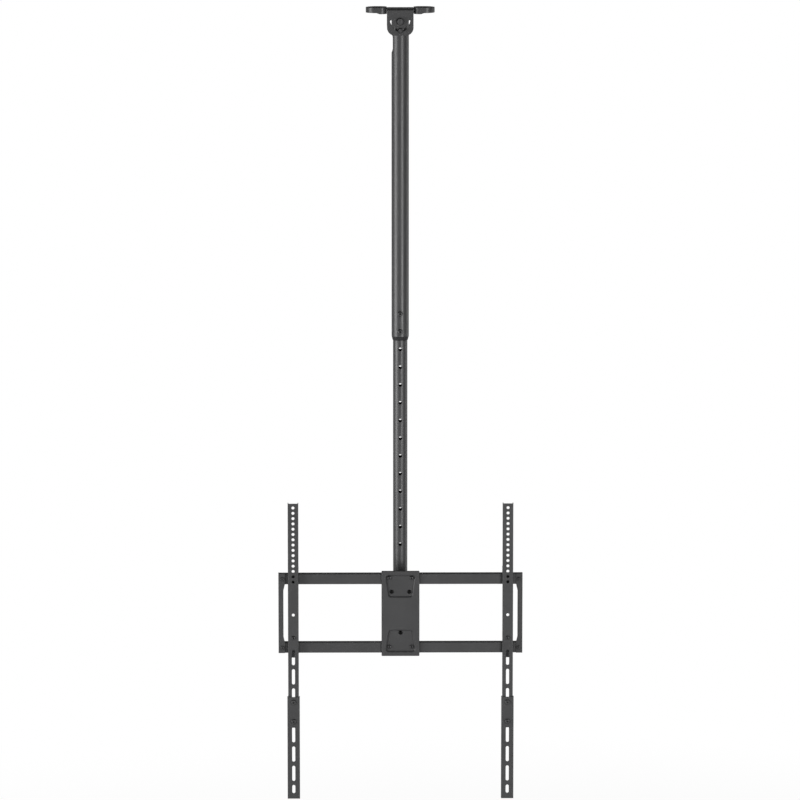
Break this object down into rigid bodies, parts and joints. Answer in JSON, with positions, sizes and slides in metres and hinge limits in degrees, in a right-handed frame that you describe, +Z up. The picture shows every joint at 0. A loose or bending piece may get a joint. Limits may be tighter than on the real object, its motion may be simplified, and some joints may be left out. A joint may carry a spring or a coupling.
{
  "type": "swivel ceiling mount",
  "caption": "Ceiling mount for a flat screen: pitching ceiling plate, telescopic pole, swivel and tilt head, and a rail frame with sliding slotted arms and extensions.",
  "frame": {"origin": "on the pole's axis, in the ceiling plane at the wings' top faces", "axes": "+Z up along the pole, -Y towards the screen side, X along the rails"},
  "size_m": [0.6814, 0.1496, 2.2155],
  "materials": {
    "powder_coat": "satin black powder coat",
    "fastener": "blackened steel",
    "nylon": "black nylon"
  },
  "bodies": {
    "ceiling_bracket": {"ceiling_plate": "powder_coat", "pivot_bolt": "fastener", "pivot_nut": "fastener", "pivot_washers": "fastener", "pivot_spacers": "nylon"},
    "outer_pole": {"outer_tube": "powder_coat", "lock_bolt": "fastener", "lock_nut": "fastener", "lock_washers": "fastener", "pivot_sleeve": "fastener", "lock_sleeve": "fastener", "glide_bush": "nylon", "height_screws": "fastener"},
    "inner_pole": {"inner_tube": "powder_coat", "top_glide": "nylon", "foot_ring": "powder_coat", "foot_ring_screws": "fastener"},
    "swivel_head": {"swivel_bracket": "powder_coat", "swivel_liner": "nylon", "thrust_washer": "nylon", "swivel_screws": "fastener", "tilt_bolt": "fastener", "tilt_nut": "fastener", "tilt_lock_bolt": "fastener", "tilt_lock_nut": "fastener", "tilt_spacers": "nylon", "tilt_washers": "fastener"},
    "screen_frame": {"tilt_bracket": "powder_coat", "front_panel": "powder_coat", "upper_rail": "powder_coat", "lower_rail": "powder_coat", "left_end_plate": "powder_coat", "right_end_plate": "powder_coat", "end_plate_screws": "fastener", "rail_screws": "fastener", "bracket_bolts": "fastener", "bracket_nuts": "fastener"},
    "left_arm": {"left_arm": "powder_coat", "left_arm_clip": "powder_coat", "left_arm_screw": "fastener"},
    "left_extension": {"left_extension": "powder_coat", "left_extension_screws": "fastener", "left_extension_nuts": "fastener"},
    "right_arm": {"right_arm": "powder_coat", "right_arm_clip": "powder_coat", "right_arm_screw": "fastener"},
    "right_extension": {"right_extension": "powder_coat", "right_extension_screws": "fastener", "right_extension_nuts": "fastener"}
  },
  "joints": [
    {"name": "ceiling_pitch", "type": "hinge", "parent": "ceiling_bracket", "child": "outer_pole", "pos_m": [0, 0, -0.037], "axis": [0, 1, 0], "range_deg": [-60, 60]},
    {"name": "height_slide", "type": "slide", "parent": "outer_pole", "child": "inner_pole", "axis": [0, 0, 1], "range_m": [0, 0.6]},
    {"name": "swivel", "type": "hinge", "parent": "inner_pole", "child": "swivel_head", "pos_m": [0, 0, -1.63], "axis": [0, 0, 1], "continuous": true},
    {"name": "screen_tilt", "type": "hinge", "parent": "swivel_head", "child": "screen_frame", "pos_m": [0, -0.048, -1.69], "axis": [1, 0, 0], "range_deg": [-5, 20]},
    {"name": "left_arm_slide", "type": "slide", "parent": "screen_frame", "child": "left_arm", "axis": [1, 0, 0], "range_m": [-0.005, 0.2]},
    {"name": "left_extension_slide", "type": "slide", "parent": "left_arm", "child": "left_extension", "axis": [0, 0, 1], "range_m": [0, 0.034]},
    {"name": "right_arm_slide", "type": "slide", "parent": "screen_frame", "child": "right_arm", "axis": [-1, 0, 0], "range_m": [-0.005, 0.2]},
    {"name": "right_extension_slide", "type": "slide", "parent": "right_arm", "child": "right_extension", "axis": [0, 0, 1], "range_m": [0, 0.034]}
  ]
}
